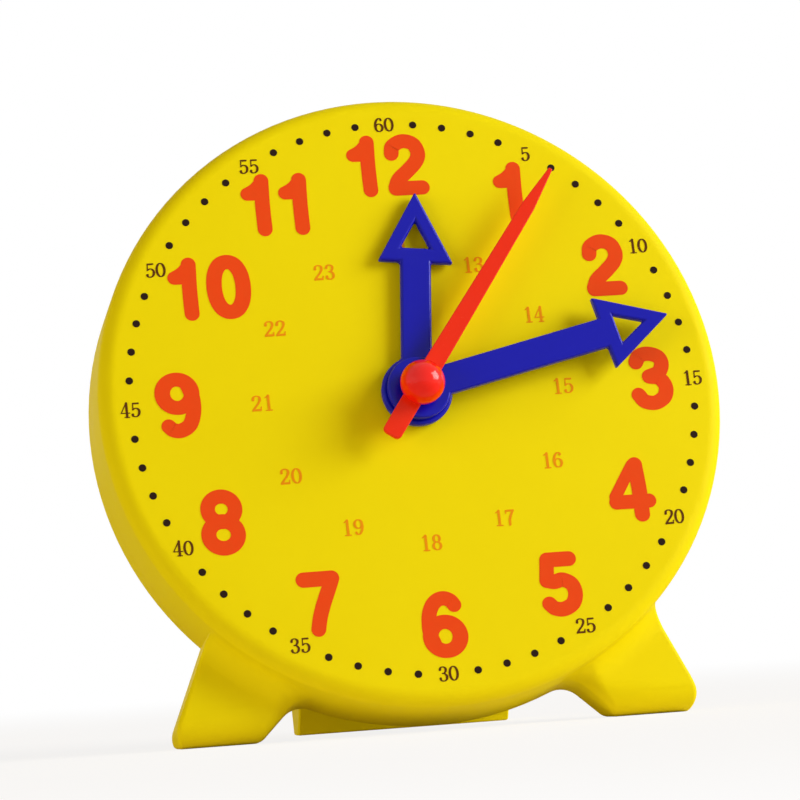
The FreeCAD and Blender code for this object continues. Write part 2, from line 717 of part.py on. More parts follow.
def boreHand(body, name, radius, back, thickness):
    sketch = sketchOn(body, name, "XY_Plane", back)
    addCircle(sketch, "0", "0", radius)
    pocket(body, sketch, name + "Cut", thickness, upwards=True)
    return body


def makeHourHand():
    body = arrowHand("hour_hand", "Sizes.hourWidth", "Sizes.hourLength", "Sizes.hourArrow",
                     "Sizes.hourHubRadius", hourHandBack)
    return boreHand(body, "HourHandBore", hourPipe, hourHandBack, "Sizes.handThickness")


def makeMinuteHand():
    body = arrowHand("minute_hand", "Sizes.minuteWidth", "Sizes.minuteLength", "Sizes.minuteArrow",
                     "Sizes.minuteHubRadius", minuteHandBack)
    return boreHand(body, "MinuteHandBore", minutePipe, minuteHandBack, "Sizes.handThickness")


def makeSecondHand():
    """A slim bar, widest at the arbor, with a long point and a short round-cornered tail."""
    body = newBody("second_hand")
    half = "(Sizes.secondWidth / 2)"
    neck = "(Sizes.secondNeck / 2)"
    tip = "(Sizes.secondTip / 2)"
    taper = "(Sizes.secondLength - Sizes.secondPoint)"
    tail = "(-Sizes.secondTail)"
    tailHalf = "(Sizes.secondTailWidth / 2)"
    sketch = sketchOn(body, "SecondOutline", "XY_Plane", secondHandBack)
    addLoop(sketch, [("-" + half, "0"), ("-" + tailHalf, tail, "Sizes.secondTailRound"),
                     (tailHalf, tail, "Sizes.secondTailRound"), (half, "0"), (neck, taper),
                     (tip, "Sizes.secondLength"), ("-" + tip, "Sizes.secondLength"), ("-" + neck, taper)])
    pad(body, sketch, "SecondBar", "Sizes.secondThickness")
    return boreHand(body, "SecondBore", "Sizes.secondArborRadius", secondHandBack, "Sizes.secondThickness")


def makeSecondBall():
    """The ball knob, cut flat where it sits on the second hand and bored for the arbor."""
    radius = size("ballRadius")
    seat = number(secondHandFront)
    centre = FreeCAD.Vector(0, 0, seat + size("ballCentre"))
    ball = Part.makeSphere(radius, centre)
    below = cylinder(2 * radius, seat - 2 * radius, seat)
    socket = cylinder(size("secondArborRadius"), seat, seat + size("ballSocket"))
    return solidFeature("second_ball", ball.cut(below).cut(socket))


# the setting knob
def makeSettingKnob():
    """A ribbed cup on the idler arbor behind the case, open towards the back round its screw."""
    place = (0.0, number(axleSpacing))
    low = number(knobBack)
    high = number(knobFront)
    radius = size("knobRadius")
    knob = cylinder(radius, low, high, *place)
    knob = knob.cut(cylinder(radius - size("knobWall"), low, number(knobWebBack), *place))
    knob = knob.fuse(cylinder(size("knobHubRadius"), number(idlerArborEnd), high, *place))
    knob = knob.cut(cylinder(size("idlerArborRadius"), number(idlerArborEnd), high, *place))
    ribs = int(size("knobRibs"))
    grips = []
    for rib in range(ribs):
        heading = math.radians(360.0 * rib / ribs)
        grips.append(cylinder(size("knobRibRadius"), low, high, place[0] + radius * math.cos(heading),
                              place[1] + radius * math.sin(heading)))
    return solidFeature("setting_knob", knob.fuse(grips))


def makeIdlerArbor():
    """The steel arbor: front pivot in the dial boss, through plate and cover, to the knob."""
    pivotEnd = "(%s + Sizes.pivotDepth - Sizes.shaftPlay)" % dialBack
    place = (0.0, number(axleSpacing))
    arbor = cylinder(size("idlerArborRadius"), number(idlerArborEnd), number(pivotEnd), *place)
    pilotEnd = number(idlerArborEnd) + size("screwBite") + size("pilotSpare")
    pilot = cylinder(size("knobScrewRadius"), number(idlerArborEnd), pilotEnd, *place)
    return solidFeature("idler_arbor", arbor.cut(pilot))


makeFrontShell()
makeRearCover()
makeRearLeg()
screwGroup("cover_screws", coverScrews, caseBack)
screwGroup("plate_screws", plateScrews, plateBack)
screwGroup("leg_screws", legScrews, "(%s - Sizes.legFlange)" % panelBack)
makeGearPlate()
turned("dial_bushing", [(bushBore, "Sizes.bushProud"), (bushRadius, "Sizes.bushProud"),
                        (bushRadius, dialBack), ("Sizes.bushFlangeRadius", dialBack),
                        ("Sizes.bushFlangeRadius", bushBack), (bushBore, bushBack)])
turned("friction_washer", [(plateBore, plateFront), ("Sizes.washerRadius", plateFront),
                           ("Sizes.washerRadius", "(%s + Sizes.washerThickness)" % plateFront),
                           (plateBore, "(%s + Sizes.washerThickness)" % plateFront)])
turned("minute_pipe", [(minuteBore, pipeEnd), (minutePipe, pipeEnd), (minutePipe, minuteHandFront),
                       (minuteBore, minuteHandFront)])
makeMinutePinion()
makeMinuteHand()
makeHourWheel()
makeHourHand()
makeIdlerArbor()
makeIdlerWheel()
makeIdlerPinion()
makeSettingKnob()
screwGroup("knob_screw", [("0", axleSpacing)], idlerArborEnd, "knobScrewRadius")
turned("second_arbor", [("0", secondArborEnd), ("Sizes.secondArborRadius", secondArborEnd),
                        ("Sizes.secondArborRadius", secondArborTop), ("0", secondArborTop)])
turned("second_retainer", [("Sizes.secondArborRadius", retainerBack),
                           ("Sizes.retainerRadius", retainerBack),
                           ("Sizes.retainerRadius", retainerFront),
                           ("Sizes.secondArborRadius", retainerFront)])
makeSecondHand()
makeSecondBall()

# rest pose, stance and export
restAngles = {"hour_hand": "hourAngle", "minute_hand": "minuteAngle", "second_hand": "secondAngle"}
pieces = [item for item in doc.Objects if item.TypeId in ("PartDesign::Body", "Part::Feature")]
pieces = [item for item in pieces if item.Label == item.Name and "_" in item.Name]


def stand(shift):
    """Lean every piece back and lift it to its height, with the clock moved along Y by a shift."""
    lean = FreeCAD.Rotation(FreeCAD.Vector(1, 0, 0), 90.0 - size("lean"))
    world = FreeCAD.Placement(FreeCAD.Vector(0, shift, number(standHeight)), lean)
    for piece in pieces:
        turn = size(restAngles[piece.Label]) if piece.Label in restAngles else 0.0
        rest = FreeCAD.Rotation(FreeCAD.Vector(0, 0, 1), -turn)
        piece.Placement = world.multiply(FreeCAD.Placement(FreeCAD.Vector(0, 0, 0), rest))
    doc.recompute()


# the origin is on the ground under the middle of the whole clock's depth
stand(0.0)
boxes = [piece.Shape.optimalBoundingBox(False) for piece in pieces]
stand(-(min(box.YMin for box in boxes) + max(box.YMax for box in boxes)) / 2)

for item in doc.Objects:
    if "Invalid" in item.State or "Error" in item.State:
        raise RuntimeError(item.Name + " failed: " + str(item.State))
for piece in pieces:
    if piece.Shape.isNull() or not piece.Shape.isValid() or not piece.Shape.Solids:
        raise RuntimeError(piece.Label + " has no valid solid")

os.makedirs("parts", exist_ok=True)
for piece in pieces:
    piece.Shape.exportStep("parts/%s.step" % piece.Label)
    print("%-16s %2d solid(s) %10.2f mm3" % (piece.Label, len(piece.Shape.Solids), piece.Shape.Volume))
dial = [piece for piece in pieces if piece.Label == "front_shell"][0].Placement
idler = dial.multVec(FreeCAD.Vector(0, number(axleSpacing), 0))
print("dial centre", dial.Base, "idler axis", idler)
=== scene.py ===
import json
import math
import bmesh
import bpy
import numpy as np
from mathutils import Matrix, Vector


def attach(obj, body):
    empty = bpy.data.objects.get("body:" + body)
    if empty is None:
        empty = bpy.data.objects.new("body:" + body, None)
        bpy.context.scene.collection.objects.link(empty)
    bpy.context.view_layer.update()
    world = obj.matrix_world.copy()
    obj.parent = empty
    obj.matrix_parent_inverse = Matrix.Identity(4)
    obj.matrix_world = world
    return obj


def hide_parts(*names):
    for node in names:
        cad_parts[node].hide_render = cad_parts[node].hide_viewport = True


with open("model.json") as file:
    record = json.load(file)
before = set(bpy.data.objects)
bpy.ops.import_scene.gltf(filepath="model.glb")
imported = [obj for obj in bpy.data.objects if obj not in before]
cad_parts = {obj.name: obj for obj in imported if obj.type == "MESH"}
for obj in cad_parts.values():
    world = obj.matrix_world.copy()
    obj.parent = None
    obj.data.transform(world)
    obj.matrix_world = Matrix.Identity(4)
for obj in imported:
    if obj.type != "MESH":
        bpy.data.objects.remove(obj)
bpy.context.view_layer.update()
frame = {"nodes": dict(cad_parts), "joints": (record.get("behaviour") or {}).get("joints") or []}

nodes = frame["nodes"]
mm = 0.001

# The dial's own frame: x to the right, y up the dial, z out of its face, in millimetres. The minute
# hand's joint sits in the middle of the face and points into the case.
handJoint = [joint for joint in frame["joints"] if joint["name"] == "minute_spin"][0]
dialCentre = np.array(handJoint["pos_m"]) / mm
acrossDial = np.array([1.0, 0.0, 0.0])
outOfDial = -np.array(handJoint["axis"])
dialToWorld = np.stack([acrossDial, np.cross(outOfDial, acrossDial), outOfDial], -1)


# a point of the dial frame, leaned back and moved to the dial's middle, in metres
def toWorld(points):
    return (np.asarray(points, float) @ dialToWorld.T + dialCentre) * mm


# Edges that bend less than "soft" degrees, or "softInk" in print, are shaded smooth. On copies of CAD
# nodes, points nearer than "weld" millimetres are joined, faces that bend less than "flat" degrees
# become one, and edges that bend more than "corner" degrees are rounded in "roundSteps".
mending = {"soft": 35.0, "softInk": 60.0, "weld": 0.002, "flat": 0.4, "corner": 50.0, "roundSteps": 3}


# vertices and faces from arrays, in one object at the origin
def makePiece(name, points, faces, soft=mending["soft"]):
    mesh = bpy.data.meshes.new(name)
    mesh.from_pydata(np.asarray(points).tolist(), [], faces)
    mesh.validate()
    mesh.update()
    piece = bpy.data.objects.new(name, mesh)
    bpy.context.scene.collection.objects.link(piece)
    smoothByAngle(piece, soft)
    return piece


# faces meet softly below an angle and sharply above it
def smoothByAngle(piece, degrees):
    work = bmesh.new()
    work.from_mesh(piece.data)
    limit = math.radians(degrees)
    for face in work.faces:
        face.smooth = True
    for edge in work.edges:
        edge.smooth = len(edge.link_faces) == 2 and edge.calc_face_angle(0.0) < limit
    work.to_mesh(piece.data)
    work.free()


# quads between the rows of a grid of rows x columns points; the columns close into a ring
def ringFaces(rows, columns):
    row, column = np.meshgrid(np.arange(rows - 1), np.arange(columns), indexing="ij")
    a = row * columns + column
    b = row * columns + (column + 1) % columns
    return np.stack([a, b, b + columns, a + columns], -1).reshape(-1, 4)


# a merged copy of a CAD node, with its flat faces joined up and its corners rounded off
def refined(node, name, body, bevel):
    piece = bpy.data.objects.new(name, nodes[node].data.copy())
    bpy.context.scene.collection.objects.link(piece)
    work = bmesh.new()
    work.from_mesh(piece.data)
    bmesh.ops.remove_doubles(work, verts=work.verts, dist=mending["weld"] * mm)
    bmesh.ops.dissolve_limit(work, angle_limit=math.radians(mending["flat"]), verts=work.verts,
                             edges=work.edges)
    work.to_mesh(piece.data)
    work.free()
    smoothByAngle(piece, mending["soft"])
    if bevel:
        rounding = piece.modifiers.new("rounding", "BEVEL")
        rounding.width = bevel * mm
        rounding.segments = mending["roundSteps"]
        rounding.limit_method = "ANGLE"
        rounding.angle_limit = math.radians(mending["corner"])
        rounding.use_clamp_overlap = False
        rounding.harden_normals = True
    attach(piece, body)
    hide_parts(node)
    return piece


# wraps a socket, so that sums of sockets and numbers build their own Math nodes
class Value:
    def __init__(self, graph, socket):
        self.graph = graph
        self.socket = socket

    def join(self, kind, other, flipped=False):
        pair = [other, self] if flipped else [self, other]
        return self.graph.node("ShaderNodeMath", {"operation": kind}, {0: pair[0], 1: pair[1]})

    def __add__(self, other):
        return self.join("ADD", other)

    def __radd__(self, other):
        return self.join("ADD", other, True)

    def __sub__(self, other):
        return self.join("SUBTRACT", other)

    def __rsub__(self, other):
        return self.join("SUBTRACT", other, True)

    def __mul__(self, other):
        return self.join("MULTIPLY", other)

    def __rmul__(self, other):
        return self.join("MULTIPLY", other, True)


# the node tree of a material or of the world
class Graph:
    def __init__(self, owner):
        owner.use_nodes = True
        self.owner = owner
        self.tree = owner.node_tree

    # any node: its type, its settings, then the values or links of its sockets
    def node(self, kind, settings=None, inputs=None, output=0):
        made = self.tree.nodes.new(kind)
        for key, value in (settings or {}).items():
            setattr(made, key, value)
        for key, value in (inputs or {}).items():
            self.feed(made.inputs[key], value)
        return Value(self, made.outputs[output])

    def feed(self, socket, value):
        if isinstance(value, Value):
            self.tree.links.new(value.socket, socket)
        else:
            socket.default_value = value

    def shader(self, **values):
        principled = self.tree.nodes["Principled BSDF"]
        for key, value in values.items():
            self.feed(principled.inputs[key.replace("_", " ")], value)

    # object coordinates in millimetres
    def place(self):
        coordinates = self.node("ShaderNodeTexCoord", output="Object")
        return self.node("ShaderNodeVectorMath", {"operation": "SCALE"}, {0: coordinates, "Scale": 1 / mm})

    def noise(self, scale, detail, roughness=0.5):
        return self.node("ShaderNodeTexNoise", {}, {
            "Vector": self.place(), "Scale": scale, "Detail": detail, "Roughness": roughness})

    def mix(self, factor, low, high):
        return self.node("ShaderNodeMix", {"data_type": "RGBA"}, {0: factor, 6: low, 7: high}, 2)

    def steps(self, value, low, high):
        return self.node("ShaderNodeMapRange", {"interpolation_type": "SMOOTHSTEP"}, {
            "Value": value, "From Min": low, "From Max": high})

    def bump(self, height, strength, distance):
        return self.node("ShaderNodeBump", {}, {
            "Height": height, "Strength": strength, "Distance": distance * mm})


# an sRGB colour of 0 to 255, in the linear values that the sockets take
def srgb(red, green, blue):
    values = []
    for part in (red, green, blue):
        share = part / 255
        values.append(share / 12.92 if share <= 0.04045 else ((share + 0.055) / 1.055) ** 2.4)
    return (*values, 1.0)


# Scales are how often a pattern repeats in a millimetre, and depths are in millimetres.
plasticSkin = {"cloudScale": 0.045, "grainScale": 3.2, "grainDepth": 0.02, "rubScale": 0.16,
               "rubFrom": 0.5, "rubTo": 0.72, "rubPolish": 0.05, "ior": 1.49}
plastics = {
    "caseYellow": {"colour": (243, 228, 11), "cloud": (241, 223, 7), "roughness": 0.52, "grain": 0.10,
                   "skin": 0.07, "shine": 0.05},
    "handBlue": {"colour": (18, 20, 188), "cloud": (14, 16, 176), "roughness": 0.2, "grain": 0.08,
                 "skin": 0.05, "shine": 0.22},
    "handRed": {"colour": (242, 50, 18), "cloud": (236, 44, 14), "roughness": 0.26, "grain": 0.08,
                "skin": 0.05, "shine": 0.2},
    "ballRed": {"colour": (250, 28, 6), "cloud": (246, 23, 4), "roughness": 0.15, "grain": 0.04,
                "skin": 0.02, "shine": 0.34},
    "knobBlue": {"colour": (40, 43, 186), "cloud": (34, 37, 176), "roughness": 0.34, "grain": 0.12,
                 "skin": 0.12, "shine": 0.3},
    "gearWhite": {"colour": (226, 226, 218), "cloud": (218, 217, 206), "roughness": 0.45, "grain": 0.1,
                  "skin": 0.1, "shine": 0.4},
}


# moulded plastic: two near shades clouded together, a fine grain in the skin, and faint rubbed
# patches, where a coarser noise passes a threshold, that are a little smoother
def mouldedPlastic(name, look):
    skin = plasticSkin
    graph = Graph(bpy.data.materials.new(name))
    clouds = graph.noise(skin["cloudScale"], detail=2.0)
    grain = graph.noise(skin["grainScale"], detail=2.0)
    patches = graph.noise(skin["rubScale"], detail=4.0, roughness=0.6)
    rubbed = graph.steps(patches, skin["rubFrom"], skin["rubTo"])
    graph.shader(
        Base_Color=graph.mix(clouds, srgb(*look["colour"]), srgb(*look["cloud"])),
        Roughness=look["roughness"] + look["grain"] * (grain - 0.5) - skin["rubPolish"] * rubbed,
        Normal=graph.bump(grain, look["skin"], skin["grainDepth"]),
        Specular_IOR_Level=look["shine"],
        IOR=skin["ior"])
    return graph.owner


inkSkin = {"patchScale": 0.5, "speckleScale": 5.0, "patchShare": 0.75, "roughness": 0.42,
           "speckleRoughness": 0.14, "skin": 0.10, "depth": 0.008, "shine": 0.12}
inks = {
    "hourInk": {"colour": (240, 70, 20), "thin": (233, 80, 22)},
    "minuteInk": {"colour": (70, 34, 6), "thin": (104, 62, 8)},
    "dotInk": {"colour": (26, 10, 4), "thin": (38, 18, 6)},
    "innerInk": {"colour": (236, 136, 12), "thin": (238, 160, 12)},
}


# printing ink: one colour that goes over to a thinner one by patches and fine speckles, where the
# plastic's grain took less of it
def printedInk(name, look):
    skin = inkSkin
    graph = Graph(bpy.data.materials.new(name))
    patches = graph.noise(skin["patchScale"], detail=3.0, roughness=0.6)
    speckle = graph.noise(skin["speckleScale"], detail=2.0)
    thinness = skin["patchShare"] * patches + (1 - skin["patchShare"]) * speckle
    graph.shader(
        Base_Color=graph.mix(thinness, srgb(*look["colour"]), srgb(*look["thin"])),
        Roughness=skin["roughness"] + skin["speckleRoughness"] * (speckle - 0.5),
        Normal=graph.bump(speckle, skin["skin"], skin["depth"]),
        Specular_IOR_Level=skin["shine"])
    return graph.owner


metalSkin = {"markScale": 6.0, "dullScale": 0.8, "markRoughness": 0.14, "dullRoughness": 0.10,
             "skin": 0.15, "depth": 0.01}
metals = {
    "steel": {"colour": (196, 197, 202), "dull": (158, 159, 166), "roughness": 0.24},
    "brass": {"colour": (216, 180, 98), "dull": (184, 146, 72), "roughness": 0.24},
}


# metal: fine turning marks and a bright colour with duller patches, which are rougher
def turnedMetal(name, look):
    skin = metalSkin
    graph = Graph(bpy.data.materials.new(name))
    marks = graph.noise(skin["markScale"], detail=3.0)
    dull = graph.noise(skin["dullScale"], detail=2.0)
    graph.shader(
        Base_Color=graph.mix(dull, srgb(*look["colour"]), srgb(*look["dull"])),
        Metallic=1.0,
        Roughness=look["roughness"] + skin["markRoughness"] * (marks - 0.5) + skin["dullRoughness"] * dull,
        Normal=graph.bump(marks, skin["skin"], skin["depth"]))
    return graph.owner


finishes = {name: mouldedPlastic(name, look) for name, look in plastics.items()}
finishes.update({name: printedInk(name, look) for name, look in inks.items()})
finishes.update({name: turnedMetal(name, look) for name, look in metals.items()})
print("finishes", len(finishes))


def dress(piece, finish):
    piece.data.materials.clear()
    piece.data.materials.append(finishes[finish])


# CAD nodes that keep their own meshes
cadFinish = {
    "gear_plate": "gearWhite", "minute_pinion": "gearWhite", "hour_wheel": "gearWhite",
    "idler_wheel": "gearWhite", "idler_pinion": "gearWhite", "dial_bushing": "brass",
    "minute_pipe": "brass", "friction_washer": "steel", "plate_screws": "steel",
    "idler_arbor": "steel", "second_arbor": "steel", "second_retainer": "steel",
}
for node, finish in cadFinish.items():
    dress(nodes[node], finish)

# CAD nodes that are shown by a rounded copy: its name, body, finish, slot and round in millimetres
refinedPieces = {
    "front_shell": ("shell_moulding", "case", "caseYellow", "case_yellow", 0.0),
    "rear_cover": ("cover_moulding", "case", "caseYellow", "case_yellow", 0.25),
    "rear_leg": ("leg_moulding", "case", "caseYellow", "case_yellow", 0.4),
    "cover_screws": ("cover_screw_set", "case", "steel", "steel", 0.08),
    "leg_screws": ("leg_screw_set", "case", "steel", "steel", 0.08),
    "knob_screw": ("knob_screw_head", "idler", "steel", "steel", 0.06),
    "setting_knob": ("knob_moulding", "idler", "knobBlue", "knob_blue", 0.2),
    "hour_hand": ("hour_hand_moulding", "hour", "handBlue", "hand_blue", 0.5),
    "minute_hand": ("minute_hand_moulding", "minute", "handBlue", "hand_blue", 0.4),
    "second_hand": ("second_hand_moulding", "second", "handRed", "hand_red", 0.18),
}
for node, (name, body, finish, slot, bevel) in refinedPieces.items():
    piece = refined(node, name, body, bevel)
    dress(piece, finish)
print("refined copies", len(refinedPieces))

ballKnob = {"radius": 3.7, "seat": 5.15, "centre": 6.55, "bore": 1.0, "boreTop": 8.35,
            "steps": 96, "rows": 48, "poleGap": 0.02}


# a half section of a sphere cut flat at its seat, with its bore, carried round the arbor's axis: a
# point lies off the axis by the radius times the cosine of its height angle
def turnBall(sizes):
    lowest = math.asin((sizes["seat"] - sizes["centre"]) / sizes["radius"])
    angles = np.linspace(math.pi / 2 - sizes["poleGap"], lowest, sizes["rows"])
    radii = np.append(sizes["radius"] * np.cos(angles), [sizes["bore"], sizes["bore"]])
    heights = np.append(sizes["centre"] + sizes["radius"] * np.sin(angles),
                        [sizes["seat"], sizes["boreTop"]])
    turn = np.linspace(0, 2 * math.pi, sizes["steps"], endpoint=False)
    ring = np.stack([np.outer(radii, np.cos(turn)), np.outer(radii, np.sin(turn)),
                     np.outer(heights, np.ones_like(turn))], -1).reshape(-1, 3)
    poles = [[0, 0, sizes["centre"] + sizes["radius"]], [0, 0, sizes["boreTop"]]]
    here = np.arange(sizes["steps"])
    after = (here + 1) % sizes["steps"]
    last = (len(radii) - 1) * sizes["steps"]
    top = np.full(sizes["steps"], len(ring))
    faces = ringFaces(len(radii), sizes["steps"])[:, ::-1].tolist()
    faces += np.stack([top, here, after], -1).tolist()
    faces += np.stack([top + 1, last + after, last + here], -1).tolist()
    return makePiece("second_ball_knob", toWorld(np.concatenate([ring, poles])), faces)


ball = turnBall(ballKnob)
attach(ball, "second")
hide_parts("second_ball")
dress(ball, "ballRed")
print("ball knob")

# The print stands on the dial by "height" millimetres and goes into it by "sink". A stroke's face is
# one "layer" above the last one's, and every "layers" strokes that starts again.
printing = {"height": 0.05, "sink": 0.02, "layer": 0.002, "layers": 9}
# The pen puts "steps" points between two of a line's own, and "loopSteps" round an ellipse. A bend is
# averaged over "average" points, and the inside of a stroke takes at most "inside" of its radius. A
# round end has "endSteps" points on each side and stops "endGap" radians short of its tip. "late" is
# the power of the slope by which a stroke widens as it comes upright.
pen = {"steps": 14, "loopSteps": 16, "average": 13, "inside": 0.98, "endSteps": 8, "endGap": 0.01,
       "late": 1.6}


# a smooth line through points: a Catmull-Rom spline read at even steps
def smoothLine(points):
    steps = pen["steps"]
    points = np.asarray(points, float)
    if len(points) == 2:
        share = np.linspace(0, 1, steps)[:, None]
        return points[0] * (1 - share) + points[1] * share
    if np.allclose(points[0], points[-1]):
        padded = np.vstack([points[-2], points, points[1]])
    else:
        padded = np.vstack([2 * points[0] - points[1], points, 2 * points[-1] - points[-2]])
    share = np.linspace(0, 1, steps, endpoint=False)[:, None]
    parts = []
    for a, b, c, d in zip(padded[:-3], padded[1:-2], padded[2:-1], padded[3:]):
        parts.append(0.5 * (2 * b + (c - a) * share + (2 * a - 5 * b + 4 * c - d) * share ** 2
                            + (3 * b - a - 3 * c + d) * share ** 3))
    parts.append(points[-1:])
    return np.vstack(parts)


# a pen's half width: one number, or a width for level parts that grows to one for upright parts with
# a power of the slope
def penWidth(line, half):
    step = np.gradient(line, axis=0)
    slope = np.abs(step[:, 1]) / np.maximum(np.linalg.norm(step, axis=1), 1e-9)
    level, upright = half if isinstance(half, tuple) else (half, half)
    return level + (upright - level) * slope ** pen["late"]


# the outline of a pen stroke: the line set off to both sides by the pen's half width, but on the
# inside of a bend by no more than its radius, and with a half circle at each end
def strokeOutline(line, half):
    closed = np.allclose(line[0], line[-1])
    step = np.gradient(line, axis=0)
    if closed:
        step[0] = step[-1] = line[1] - line[-2]
    length = np.linalg.norm(step, axis=1)
    along = step / length[:, None]
    across = np.stack([-along[:, 1], along[:, 0]], -1)
    bend = (np.gradient(along, axis=0) * across).sum(-1) / length
    count = pen["average"]
    bend = np.convolve(np.pad(bend, count // 2, "edge"), np.full(count, 1 / count), "valid")
    left = np.minimum(half, pen["inside"] / np.maximum(bend, 1e-6))[:, None]
    right = np.minimum(half, pen["inside"] / np.maximum(-bend, 1e-6))[:, None]
    if closed:
        return line + across * left, line - across * right, True
    turn = np.linspace(math.pi / 2, pen["endGap"], pen["endSteps"] + 1)[1:, None]
    sides = []
    for width, sign in ((left, 1), (right, -1)):
        tail = line[-1] + half[-1] * (along[-1] * np.cos(turn) + sign * across[-1] * np.sin(turn))
        head = line[0] + half[0] * (sign * across[0] * np.sin(turn) - along[0] * np.cos(turn))
        sides.append(np.vstack([head[::-1], line + sign * across * width, tail]))
    return sides[0], sides[1], False


# a pad of ink: the two sides of the stroke, once at the ink's height and once below the dial's face
def strokePad(left, right, closed, top, bottom):
    count = len(left)
    flat = np.stack([left, right, right, left], 1)
    heights = np.broadcast_to([top, top, bottom, bottom], (count, 4))[..., None]
    points = np.concatenate([flat, heights], -1).reshape(-1, 3)
    faces = ringFaces(count, 4)
    if closed:
        wrap = ringFaces(2, 4)
        wrap = np.where(wrap >= 4, wrap - 4, wrap + (count - 2) * 4)
        return points[:-4], np.vstack([faces[:-4], wrap]).tolist()
    last = count * 4
    return points, faces.tolist() + [[0, 1, 2, 3], [last - 1, last - 2, last - 3, last - 4]]


# the strokes of one ink, gathered into one piece on the dial
class InkSheet:
    def __init__(self):
        self.points = []
        self.faces = []
        self.count = 0
        self.strokes = 0

    # each stroke lies a hair above the last, so that none share a face
    def stroke(self, points, half, place, scale=1.0):
        line = smoothLine(points)
        outline = strokeOutline(line * scale + place, penWidth(line, half) * scale)
        top = printing["height"] + printing["layer"] * (self.strokes % printing["layers"])
        self.strokes += 1
        self.add(*strokePad(*outline, top, -printing["sink"]))

    def add(self, points, faces):
        self.points.append(points)
        self.faces += [(np.array(face) + self.count).tolist() for face in faces]
        self.count += len(points)

    def finish(self, name, ink):
        piece = makePiece(name, toWorld(np.vstack(self.points)), self.faces, mending["softInk"])
        work = bmesh.new()
        work.from_mesh(piece.data)
        bmesh.ops.recalc_face_normals(work, faces=work.faces)
        work.to_mesh(piece.data)
        work.free()
        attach(piece, "case")
        dress(piece, ink)
        print(name, len(piece.data.polygons), "faces")


# a closed line round an ellipse: its radii times the cosine and the sine of even turns, which are
# raised to a power; a power below one squares it a little
def loop(x, y, acrossRadius, upRadius, power=1.0):
    turn = np.linspace(0, 2 * math.pi, pen["loopSteps"] + 1)
    across = acrossRadius * np.sign(np.cos(turn)) * np.abs(np.cos(turn)) ** power
    up = upRadius * np.sign(np.sin(turn)) * np.abs(np.sin(turn)) ** power
    line = np.stack([x + across, y + up], -1)
    line[-1] = line[0]
    return line


# bold rounded numerals, 11 mm high: each stroke is its middle line and its half width
bold = {
    "0": [(loop(0.0, 0.0, 2.42, 4.35, 0.92), (1.24, 1.28))],
    "1": [([(1.22, 4.25), (1.05, 0.0), (1.05, -4.25)], 1.24),
          ([(-1.32, 2.05), (0.9, 2.05)], 1.15),
          ([(-1.35, 2.2), (-0.1, 2.9), (1.15, 4.1)], 0.98)],
    "2": [([(-2.35, 2.1), (-2.0, 3.4), (-0.3, 4.25), (1.5, 3.7), (2.2, 2.1), (1.75, 0.6),
            (0.2, -1.0), (-1.5, -2.5), (-2.2, -3.9)], 1.25),
          ([(-2.2, -4.15), (2.3, -4.15)], 1.26)],
    "3": [([(-2.3, 2.9), (-1.6, 3.95), (-0.1, 4.3), (1.6, 3.7), (2.1, 2.4), (1.4, 0.95),
            (-0.3, 0.3)], 1.25),
          ([(-0.3, 0.3), (1.4, -0.1), (2.3, -1.6), (1.9, -3.3), (0.2, -4.3), (-1.6, -3.95),
            (-2.5, -2.8)], 1.25)],
    "4": [([(0.55, 4.2), (-1.2, 1.55), (-2.9, -1.1)], 1.0),
          ([(1.05, 4.25), (1.3, 0.0), (1.3, -4.3)], 1.28),
          ([(-2.85, -2.05), (2.75, -2.05)], 1.2),
          ([(-2.9, -1.1), (-2.9, -2.0)], 1.02)],
    "5": [([(-1.9, 4.2), (1.75, 4.2)], 1.25),
          ([(-1.95, 4.2), (-2.35, 0.75)], 1.2),
          ([(-2.35, 0.72), (-1.1, 0.45), (0.3, 0.72), (1.75, -0.1), (2.2, -1.7), (1.6, -3.35),
            (0.0, -4.2), (-1.5, -4.0), (-2.35, -3.2)], 1.23)],
    "6": [([(2.0, 3.05), (1.45, 3.8), (0.4, 4.25), (-0.75, 4.0), (-1.75, 3.0), (-2.4, 1.2),
            (-2.5, -1.3), (-1.9, -3.4)], 1.2),
          (loop(0.0, -2.1, 2.46, 2.42), (1.18, 1.3))],
    "7": [([(-2.35, 4.1), (2.3, 4.15)], 1.27),
          ([(2.35, 4.1), (1.7, 2.5), (0.6, 0.0), (-0.2, -2.2), (-0.7, -4.25)], 1.2)],
    "8": [(loop(0.05, 2.2, 2.25, 2.15), 1.18),
          (loop(0.0, -2.1, 2.42, 2.25), 1.22)],
    "9": [([(-1.9, -3.5), (-1.2, -4.15), (0.1, -4.3), (1.6, -3.4), (2.4, -1.3), (2.45, 1.2),
            (1.8, 3.3)], 1.22),
          (loop(-0.05, 2.0, 2.42, 2.42), (1.18, 1.28))],
}
# each bold digit's middle, from the middle of the dial
hourPlaces = [
    ("1", -4.54, 40.21), ("2", 3.04, 40.17), ("1", 20.05, 34.33), ("2", 34.92, 20.62),
    ("3", 40.42, 0.33), ("4", 34.50, -18.71), ("5", 20.54, -33.92), ("6", 0.25, -39.21),
    ("7", -19.75, -34.46), ("8", -34.33, -19.83), ("9", -39.58, 0.33), ("1", -36.83, 20.17),
    ("0", -29.25, 20.21), ("1", -23.17, 34.21), ("1", -16.79, 34.12),
]
hourSheet = InkSheet()
for digit, x, y in hourPlaces:
    for line, half in bold[digit]:
        hourSheet.stroke(line, half, (x, y))
hourSheet.finish("hour_numerals", "hourInk")

